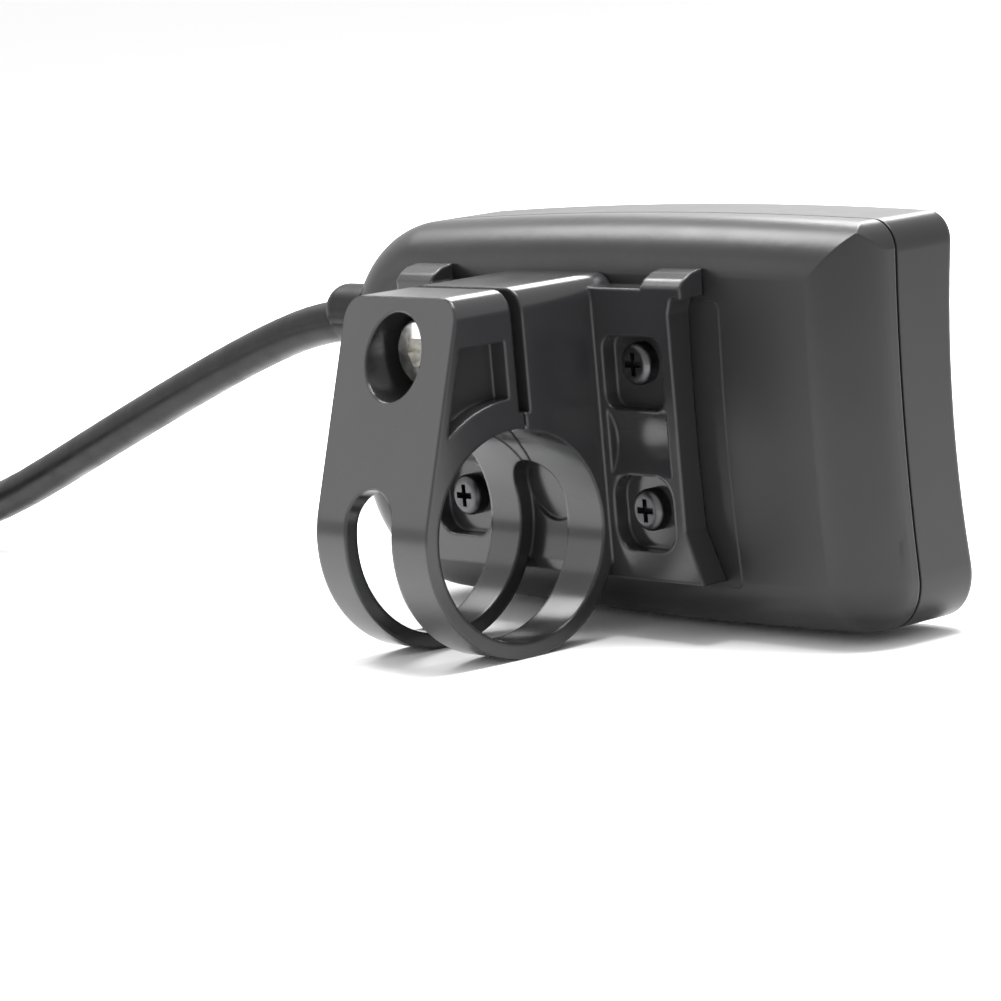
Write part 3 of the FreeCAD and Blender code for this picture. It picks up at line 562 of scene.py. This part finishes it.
def plus_sign(x, z):
    """A cross of one long bar and two short ones, which don't overlap."""
    return [bar(x, z, 1.9, 0.35, 0.34), bar(x, z + 1.13, 0.35, 0.77, 0.34),
            bar(x, z - 1.13, 0.35, 0.77, 0.34)]


def minus_sign(x, z):
    """One bar, in a list as the other signs are."""
    return [bar(x, z, 1.9, 0.35, 0.34)]


def make_marks(name, outlines, proud, height, material, body, finish):
    """One piece of raised shapes on the face or on a key."""
    made = bmesh.new()
    raise_shapes(made, outlines, proud, height)
    bmesh.ops.recalc_face_normals(made, faces=made.faces[:])
    return finish_piece(name, mesh_from(made, name), material, body, finish, smooth=False)


def make_face_marks():
    """Raised key symbols, and the windows and plain pictograms printed on the lens."""
    ink = grained_plastic("pad_print", (0.62, 0.62, 0.60), 0.45, grain=3000.0)
    signs = {"minus": minus_sign, "plus": plus_sign, "power": power_sign}
    for name, sign in signs.items():
        make_marks("symbol_" + name, sign(KEY_X[name], KEY_Z), KEY_HEIGHT, SYMBOL_HEIGHT, ink,
                   "key_" + name, "keycap")
    tint = grained_plastic("window_tint", (0.17, 0.17, 0.16), 0.33, grain=3000.0)
    windows = [bar(x, LED_HIGH, 2.4, 1.0, 0.5) for x in LED_X]
    for index, x in enumerate(LED_X):
        windows.append(bar(x, LED_LOW, 1.1, 0.55 + 0.2 * index, 0.45))
    make_marks("lamp_windows", windows, 0.0, PRINT_HEIGHT, tint, "housing", "baffle")
    labels = battery_sign(SIGN_X, LED_HIGH) + wheel_sign(SIGN_X, LED_LOW)
    make_marks("lens_pictograms", labels, 0.0, PRINT_HEIGHT, ink, "housing", "baffle")


# ---------------------------------------------------------------- stage, in metres and watts
FLOOR_HALF = 4.0
SURROUND = 1.08
AIM = Vector((0, 0.01, 0.01))
# Each soft box has its name, place, side and power.
SOFT_BOXES = (("top_box", (0.05, 0.10, 0.60), 0.30, 7.0),
              ("left_box", (-0.56, 0.01, 0.69), 0.32, 4.2),
              ("left_fill", (-0.70, -0.55, 0.28), 0.36, 0.45),
              ("back_box", (-0.45, 0.56, 0.54), 0.30, 4.0))


def make_floor():
    """A pale square floor at the height of the coil's lowest point."""
    mesh = bpy.data.meshes.new("floor")
    corners = [(x * FLOOR_HALF, y * FLOOR_HALF, FLOOR_Z)
               for x, y in ((-1, -1), (1, -1), (1, 1), (-1, 1))]
    mesh.from_pydata(corners, [], [(0, 1, 2, 3)])
    floor = put("floor", mesh)
    made = Nodes("floor_paint")
    made.set(Base_Color=(0.90, 0.90, 0.90, 1), Roughness=0.9, Specular_IOR_Level=0.1)
    mesh.materials.append(made.material)


def make_surround():
    """An even white world, shown without a film-like curve."""
    world = bpy.data.worlds.new("surround")
    world.use_nodes = True
    background = world.node_tree.nodes["Background"]
    background.inputs["Color"].default_value = (1.0, 1.0, 1.0, 1)
    background.inputs["Strength"].default_value = SURROUND
    bpy.context.scene.world = world
    bpy.context.scene.view_settings.view_transform = "Standard"


def add_light(name, place, size, power):
    """A square soft box aimed at the object."""
    data = bpy.data.lights.new(name, "AREA")
    data.size = size
    data.energy = power
    light = put(name, data)
    light.location = place
    toward = AIM - light.location
    light.rotation_euler = toward.to_track_quat("-Z", "Y").to_euler()


make_camera()
lead = make_cable()
boot = make_boot()
tie = make_tie()
dress_cad()
make_face_marks()
make_floor()
make_surround()
for soft_box in SOFT_BOXES:
    add_light(*soft_box)
